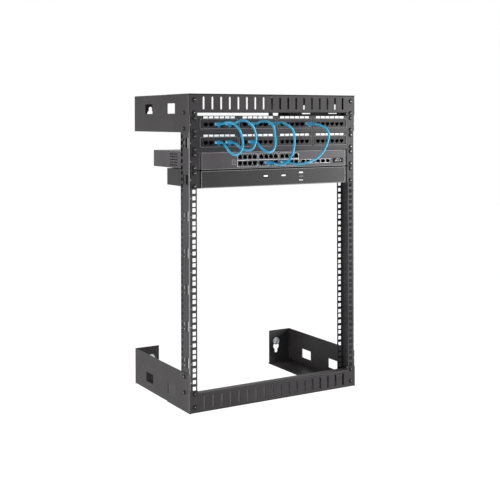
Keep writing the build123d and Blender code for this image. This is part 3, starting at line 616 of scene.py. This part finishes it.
# Behind each module stands a green circuit board, soldered to its sockets, with slotted
# black terminal blocks whose rows of teeth take the house wiring.
TEETH_X = 23.5
TEETH_BACK = 39.4
TEETH_RISE = 9.5
board_green = coat("board_green", (0.02, 0.12, 0.05), rough=0.35, grain=300.0, shine=0.5)
finish(board_green, "panel_1_boards", "panel_2_boards")
terminal_plastic = coat("terminal_plastic", (0.05, 0.05, 0.055), rough=0.45, grain=500.0)
finish(terminal_plastic, "panel_1_blocks", "panel_2_blocks")
tooth = slab(wide=1.3, deep=2.0, high=8.4, edge=0.3, middle=(-18.6, 0.0, 0.0))
tooth_plastic = coat("tooth_plastic", (0.30, 0.31, 0.33), rough=0.4, grain=500.0)
settled(in_a_row(tooth, 13, pitch=3.1), "terminal_teeth", tooth_plastic)
for number in (1, 2):
    teeth = repeated(tooth, "panel_%d_teeth" % number,
                     [spot(x + side * TEETH_X, TEETH_BACK, UNIT_MIDDLES[number] + rise)
                      for x in MODULE_X for side in (-1, 1)
                      for rise in (-TEETH_RISE, TEETH_RISE)],
                     keep=number == 1)
    riding(teeth, "terminal_plastic")

# The switch: a sheet steel case and front in warm dark grey, held by two black ears, with
# three blocks of sockets in a bright shield, each with a frame and rows of small lights.
SWITCH_MIDDLE = UNIT_MIDDLES[3]
GROUP_X = (-84.9, -23.25, 38.4)
COLUMN_X = (-21.0, -7.0, 7.0, 21.0)
COLUMN_PITCH = 14.0
GROUP_MIDDLE = SWITCH_MIDDLE + 0.25
GROUP_FACE = -0.8
UPPER_ROW = 7.1
LOWER_ROW = -6.6
ROOF_DROP = 5.2
POST_RISE = 6.8
LIGHT_RISE = 14.4
LIGHT_X = 3.4
switch_coat = coat("switch_coat", (0.068, 0.063, 0.067), rough=0.4, grain=800.0)
finish(switch_coat, "switch_case", "switch_front")
ear_coat = coat("ear_coat", (0.020, 0.019, 0.020), rough=0.42, grain=900.0)
finish(ear_coat, "switch_ears", "console_ears")
shield_metal = coat("shield_metal", (0.50, 0.50, 0.52),
                    rough=0.34, grain=400.0, metal=0.4, shine=0.5)
shield_plastic = coat("shield_plastic", (0.05, 0.048, 0.05), rough=0.4, grain=400.0)
# Painted shade: the socket blocks are painted black from just behind their mouths inwards.
paint_shade_inside(shield_plastic, GROUP_FACE)
finish(shield_plastic, "switch_sockets")
# A paler coat for the rims along the switch and console fronts' edges: a painted highlight.
edge_highlight_coat = coat("edge_highlight_coat", (0.30, 0.295, 0.30), rough=0.36, grain=800.0)
switch_rim = rim("switch_rim", edge_highlight_coat,
                 wide=426.0, high=40.8, band=1.0, proud=0.4, corner=1.2, edge=0.15)
switch_rim = repeated(switch_rim, "switch_front_rim", [spot(0.0, 0.0, SWITCH_MIDDLE)])
riding(switch_rim, "switch_coat")
group_frame = rim("group_frame", shield_metal,
                  wide=58.0, high=34.0, band=0.8, proud=0.9, corner=2.0)
group_frames = repeated(group_frame, "switch_group_frames",
                        [spot(x, 0.0, GROUP_MIDDLE) for x in GROUP_X])
riding(group_frames, "socket_shield")
bar = settled(slab(wide=56.4, deep=0.4, high=1.7, edge=0.15), "row_bar", shield_metal)
row_bars = repeated(bar, "switch_row_bars", [spot(x, -1.0, GROUP_MIDDLE) for x in GROUP_X])
post = settled(slab(wide=0.7, deep=0.4, high=9.0, edge=0.15), "column_post", shield_metal)
posts = repeated(post, "column_posts",
                 [spot(x + side * COLUMN_PITCH, -1.0, GROUP_MIDDLE + rise)
                  for x in GROUP_X for side in (-1, 0, 1) for rise in (-POST_RISE, POST_RISE)])
riding(joined([row_bars, posts], "switch_dividers"), "socket_shield")
lamp_pale = coat("lamp_pale", (0.62, 0.66, 0.60),
                 rough=0.3, grain=600.0, spread=0.08, shine=0.5)
strip_plastic = coat("strip_plastic", (0.03, 0.03, 0.031), rough=0.4, grain=500.0, bump=0.04)
strip = settled(slab(wide=54.6, deep=0.3, high=2.4, edge=0.1), "lamp_strip", strip_plastic)
strips = repeated(strip, "switch_lamp_strips",
                  [spot(x, -0.9, GROUP_MIDDLE + rise)
                   for x in GROUP_X for rise in (-LIGHT_RISE, LIGHT_RISE)])
riding(strips, "socket_shield")
light = settled(slab(wide=2.6, deep=0.5, high=0.9, edge=0.2), "port_light", lamp_pale)
lights = repeated(light, "switch_port_lights",
                  [spot(x + column + side * LIGHT_X, -1.0, GROUP_MIDDLE + rise)
                   for x in GROUP_X for column in COLUMN_X for side in (-1, 1)
                   for rise in (-LIGHT_RISE, LIGHT_RISE)])
riding(lights, "socket_shield")
switch_wires = contact_wires("switch_wires")
lower = repeated(switch_wires, "lower_wires",
                 [spot(x + column, GROUP_FACE, SWITCH_MIDDLE + LOWER_ROW)
                  for x in GROUP_X for column in COLUMN_X], keep=True)
upper = repeated(switch_wires, "upper_wires",
                 [spot(x + column, GROUP_FACE, SWITCH_MIDDLE + UPPER_ROW - ROOF_DROP)
                  for x in GROUP_X for column in COLUMN_X])
riding(joined([lower, upper], "switch_contacts"), "cage_steel")

# Beside the first block of sockets are four rows of two short pale bars, which are the
# moulded ends of light guides, set in the front.
BAR_ROWS = 4
BAR_ROW_PITCH = 3.7
BAR_TOP = SWITCH_MIDDLE + 1.0
LEFT_BAR = -129.5
RIGHT_BAR = -122.5
bar_pale = coat("bar_pale", (0.36, 0.38, 0.36), rough=0.4, grain=600.0, spread=0.08)
bars = []
for row in range(BAR_ROWS):
    for start, wide in ((LEFT_BAR, 5.0 - row % 2), (RIGHT_BAR, 4.0 + row % 2)):
        bar = slab(wide=wide, deep=0.5, high=1.2, edge=0.2)
        bar.location = spot(start + wide / 2, -0.2, BAR_TOP - row * BAR_ROW_PITCH)
        bars.append(settled(bar, "bar_light", bar_pale))
riding(joined(bars, "switch_bar_lights"), "label_strip")

# The other sockets: six transceiver cages of plated sheet, painted black inside as shade, a
# nine-pin serial port in a black shell with a bright collar, pins and a pale insert, and behind,
# the mains inlet and the console unit's plated sockets.
CAGE_FACE = -0.8
PIN_PITCH = 2.0
PIN_RISE = 1.0
cage_plating = coat("cage_plating", (0.30, 0.30, 0.31),
                    rough=0.35, grain=400.0, metal=0.9, shine=0.5)
# Painted shade: the cages are painted black from just behind their mouths inwards.
paint_shade_inside(cage_plating, CAGE_FACE)
finish(cage_plating, "switch_cages")
port_steel = coat("port_steel", (0.32, 0.32, 0.33),
                  rough=0.35, grain=400.0, metal=0.9, shine=0.5)
finish(port_steel, "console_rear_ports")
serial_black = coat("serial_black", (0.003, 0.003, 0.003), rough=0.5, grain=500.0, shine=0.08)
finish(serial_black, "switch_serial_port")
inlet_plastic = coat("inlet_plastic", (0.02, 0.02, 0.02), rough=0.35, grain=400.0)
finish(inlet_plastic, "switch_inlet")
SERIAL_X = 191.0
SERIAL_RISE = SWITCH_MIDDLE - 6.3
collar = rim("serial_collar", shield_metal,
             wide=18.0, high=8.8, band=0.8, proud=0.5, corner=4.2, edge=0.12)
collar = repeated(collar, "serial_rim", [spot(SERIAL_X, -0.7, SERIAL_RISE)])
riding(collar, "cage_steel")
insert = slab(wide=3.0, deep=0.5, high=2.4, edge=0.2)
insert.location = spot(SERIAL_X - 5.4, -0.65, SERIAL_RISE)
settled(insert, "serial_insert", lamp_pale)
riding(insert, "inlet_plastic")
pin = disc(radius=0.5, front=-1.3, back=-0.6, edge=0.2, vertices=10, segments=1)
settled(pin, "serial_pin", shield_metal)
pin_places = [(SERIAL_X + 2 + (place - 2) * PIN_PITCH, PIN_RISE) for place in range(5)]
pin_places += [(SERIAL_X + 2 + (place - 1.5) * PIN_PITCH, -PIN_RISE) for place in range(4)]
pins = repeated(pin, "serial_pins",
                [spot(x, 0.0, SERIAL_RISE + rise) for x, rise in pin_places])
riding(pins, "cage_steel")

# The console unit: a plain sheet steel case and front in dark satin, with a paler rim along the
# front's edge that is a painted highlight. Five small push buttons with clear moulded lenses
# stand in thin black plates, which paint the shade of their recesses. The first plate is wider.
# Three buttons are lit, one is unlit and one is dim.
CONSOLE_MIDDLE = UNIT_MIDDLES[4]
BUTTONS = ((-31.7, 3.5), (21.4, 3.5), (74.5, 9.5), (74.5, -0.25), (74.5, -10.0))
WIDE_SURROUND = (21.0, 9.0)
SURROUND = (15.0, 5.2)
console_coat = coat("console_coat", (0.026, 0.025, 0.026), rough=0.4, grain=800.0)
finish(console_coat, "console_case", "console_front")
console_rim = rim("console_rim", edge_highlight_coat,
                  wide=428.0, high=40.6, band=1.0, proud=0.4, corner=1.2, edge=0.15)
console_rim = repeated(console_rim, "console_front_rim", [spot(0.0, 0.0, CONSOLE_MIDDLE)])
riding(console_rim, "console_coat")
lit_plastic = coat("lit_plastic", (0.88, 0.89, 0.90),
                   rough=0.3, grain=500.0, spread=0.05, shine=0.5)
lit_shader = lit_plastic.node_tree.nodes["Principled BSDF"]
lit_shader.inputs["Emission Color"].default_value = (0.95, 0.97, 1.0, 1.0)
lit_shader.inputs["Emission Strength"].default_value = 0.35
unlit_plastic = coat("unlit_plastic", (0.10, 0.10, 0.105), rough=0.3, grain=500.0, shine=0.5)
dim_plastic = coat("dim_plastic", (0.42, 0.42, 0.43), rough=0.3, grain=500.0, shine=0.5)
# Painted shade: thin black plates round the buttons stand in for the shade of their recesses.
recess_shade_black = coat("recess_shade_black", (0.004, 0.004, 0.004),
                      rough=0.4, grain=500.0, shine=0.2)


def pill(name, material, wide, high, thick):
    """A flat bar with round ends, standing on the XZ plane, in millimetres."""
    bar = plate(wide, high, high * 0.48, segments=6)
    thickened(bar, thick)
    return settled(bar, name, material)


surrounds = []
lenses = []
for place, (x, rise) in enumerate(BUTTONS):
    wide, high = WIDE_SURROUND if place == 0 else SURROUND
    lens_plastic = {3: unlit_plastic, 4: dim_plastic}.get(place, lit_plastic)
    button_spot = spot(x, 0.0, CONSOLE_MIDDLE + rise)
    surround = pill("surround", recess_shade_black, wide, high, thick=0.3)
    lens = pill("lens", lens_plastic, wide=12.6, high=3.2, thick=0.9)
    surrounds.append(repeated(surround, "surround", [button_spot]))
    lenses.append(repeated(lens, "lens", [button_spot]))
riding(joined(surrounds, "console_surrounds"), "console_coat")
riding(joined(lenses, "console_lenses"), "button_plastic", "console_buttons")

# Five short blue patch cords. Each leaves a panel socket, bulges forward in one loop and
# returns to the socket below, or to the switch. The jacket is soft and slightly glossy.
# A row gives its name, its length in metres and its route in millimetres.
cord_jacket = coat("cord_jacket", (0.002, 0.32, 0.55),
                   rough=0.30, grain=500.0, bump=0.03, spread=0.1, shine=0.5)
CORD_DIAMETER = 0.0058
CORDS = (
    ("1", 0.207, (
        (-172.1, -22.2, 699.0), (-172.1, -34.0, 699.0), (-169.0, -45.5, 704.0),
        (-159.0, -58.5, 702.5), (-145.5, -66.0, 687.5), (-134.5, -61.5, 668.5),
        (-129.0, -57.0, 646.5), (-141.5, -59.5, 625.0), (-165.0, -63.5, 625.5),
        (-177.5, -56.0, 645.5), (-172.1, -34.5, 654.55), (-172.1, -22.2, 654.55),
    )),
    ("2", 0.198, (
        (-142.1, -22.2, 699.0), (-142.1, -34.0, 699.0), (-137.0, -48.5, 706.5),
        (-122.0, -56.5, 708.0), (-102.5, -56.0, 695.5), (-90.0, -51.5, 675.5),
        (-89.5, -50.5, 655.5), (-101.5, -52.5, 634.5), (-127.0, -52.5, 635.5),
        (-139.0, -44.5, 648.5), (-142.1, -34.0, 654.55), (-142.1, -22.2, 654.55),
    )),
    ("3", 0.198, (
        (-77.4, -22.2, 699.0), (-77.4, -34.0, 699.0), (-73.5, -45.5, 705.5),
        (-61.0, -58.0, 706.0), (-46.0, -62.5, 694.5), (-40.0, -58.0, 674.0),
        (-34.5, -52.5, 656.0), (-40.0, -54.5, 633.5), (-61.5, -59.0, 627.5),
        (-78.5, -53.5, 641.5), (-77.4, -35.0, 654.55), (-77.4, -22.2, 654.55),
    )),
    ("4", 0.207, (
        (-17.4, -22.2, 699.0), (-17.4, -33.5, 699.0), (-20.0, -51.5, 703.5),
        (-10.5, -66.5, 698.0), (7.5, -69.0, 685.0), (16.0, -61.0, 662.0),
        (14.5, -60.5, 639.0), (8.0, -61.5, 619.0), (-8.5, -59.0, 599.0),
        (-25.0, -46.5, 598.0), (-30.2, -34.5, 602.2), (-30.2, -22.2, 602.2),
    )),
    ("5", 0.229, (
        (92.4, -22.2, 699.0), (92.4, -36.0, 699.0), (101.0, -47.5, 695.5),
        (119.5, -54.0, 686.0), (125.5, -55.0, 666.5), (116.5, -54.0, 642.0),
        (102.0, -54.5, 621.0), (79.5, -56.0, 607.0), (51.5, -58.0, 600.0),
        (26.0, -49.5, 597.0), (17.4, -34.5, 602.2), (17.4, -22.2, 602.2),
    )),
)

# The plugs on both ends of each cord: a clear moulded body in its socket, a sprung latch
# below it, and a ribbed blue rubber boot that tapers on to the cord. A step of the boot
# gives how far it is from the body, and half its width and height.
PLUG_FRONT = 13.0
clear_plastic = coat("clear_plastic", (0.30, 0.58, 0.78),
                     rough=0.18, grain=300.0, bump=0.02, spread=0.1, shine=0.7)
boot_rubber = coat("boot_rubber", (0.015, 0.32, 0.60),
                   rough=0.34, grain=600.0, bump=0.05, spread=0.1, shine=0.6)
plug_body = slab(wide=11.2, deep=19.0, high=6.3, edge=0.5, segments=2, middle=(0.0, 9.5, 0.0))
settled(plug_body, "plug_body", clear_plastic)
latch = slab(wide=4.4, deep=15.0, high=1.6, edge=0.4, middle=(0.0, 7.6, -3.95))
bpy.ops.object.mode_set(mode="EDIT")
pick(latch, "faces", lambda face: face.normal.y < -0.9 and abs(face.normal.z) < 0.1)
bpy.ops.mesh.extrude_region_move(TRANSFORM_OT_translate={"value": (0.0, -0.0045, -0.0032)})
bpy.ops.transform.resize(value=(1.5, 1.0, 1.3))
bpy.ops.object.mode_set(mode="OBJECT")
settled(latch, "plug_latch", boot_rubber)
BOOT_STEPS = (
    (0.0, 5.5, 4.3), (-1.6, 5.5, 4.3), (-1.9, 4.9, 3.8), (-2.9, 4.9, 3.8), (-3.2, 5.3, 4.15),
    (-4.6, 5.1, 4.1), (-4.9, 4.4, 3.6), (-5.9, 4.4, 3.6), (-6.2, 4.8, 4.05), (-7.5, 4.6, 4.0),
    (-7.8, 4.0, 3.4), (-8.8, 4.0, 3.4), (-9.1, 4.3, 3.95), (-10.4, 4.15, 3.9),
    (-10.7, 3.6, 3.3), (-11.6, 3.6, 3.3), (-11.9, 3.9, 3.8), (-12.9, 3.7, 3.6),
)
bpy.ops.mesh.primitive_circle_add(vertices=20, radius=1.0, fill_type="NGON",
                                  rotation=(math.pi / 2, 0.0, 0.0))
boot = bpy.context.object
bpy.ops.object.transform_apply(location=True, rotation=True, scale=True)
bpy.ops.object.mode_set(mode="EDIT")
bpy.ops.mesh.select_all(action="SELECT")
last_y, last_wide, last_high = BOOT_STEPS[0]
bpy.ops.transform.resize(value=(last_wide / 1000, 1.0, last_high / 1000))
for y, wide, high in BOOT_STEPS[1:]:
    step = (0.0, (y - last_y) / 1000, 0.0)
    bpy.ops.mesh.extrude_region_move(TRANSFORM_OT_translate={"value": step})
    bpy.ops.transform.resize(value=(wide / last_wide, 1.0, high / last_high))
    last_y, last_wide, last_high = y, wide, high
bpy.ops.mesh.select_all(action="SELECT")
bpy.ops.mesh.normals_make_consistent(inside=False)
bpy.ops.object.mode_set(mode="OBJECT")
settled(boot, "plug_boot", boot_rubber, angle=50.0)
plug = joined([plug_body, latch, boot], "patch_plug")

for number, length, route in CORDS:
    plugs = repeated(plug, "patch_plugs_" + number,
                     [spot(x, y + PLUG_FRONT, z) for x, y, z in (route[0], route[-1])],
                     keep=number != "5")
    riding(plugs, "plug_blue", "plugs_" + number)
    curve = bpy.data.curves.new("patch_cord_" + number, "CURVE")
    curve.dimensions = "3D"
    spline = curve.splines.new("NURBS")
    spline.points.add(len(route) - 1)
    spots = [spot(*point) for point in route]
    for point, place in zip(spline.points, spots):
        point.co = (*place, 1.0)
    spline.order_u = 3
    spline.use_endpoint_u = True
    spline.resolution_u = 10
    curve.bevel_depth = CORD_DIAMETER / 2
    curve.bevel_resolution = 5
    curve.use_fill_caps = True
    curve.materials.append(cord_jacket)
    piece = bpy.data.objects.new("patch_cord_" + number, curve)
    scene.collection.objects.link(piece)
    riding(piece, "cord_blue", "cord_" + number)

bpy.context.view_layer.update()
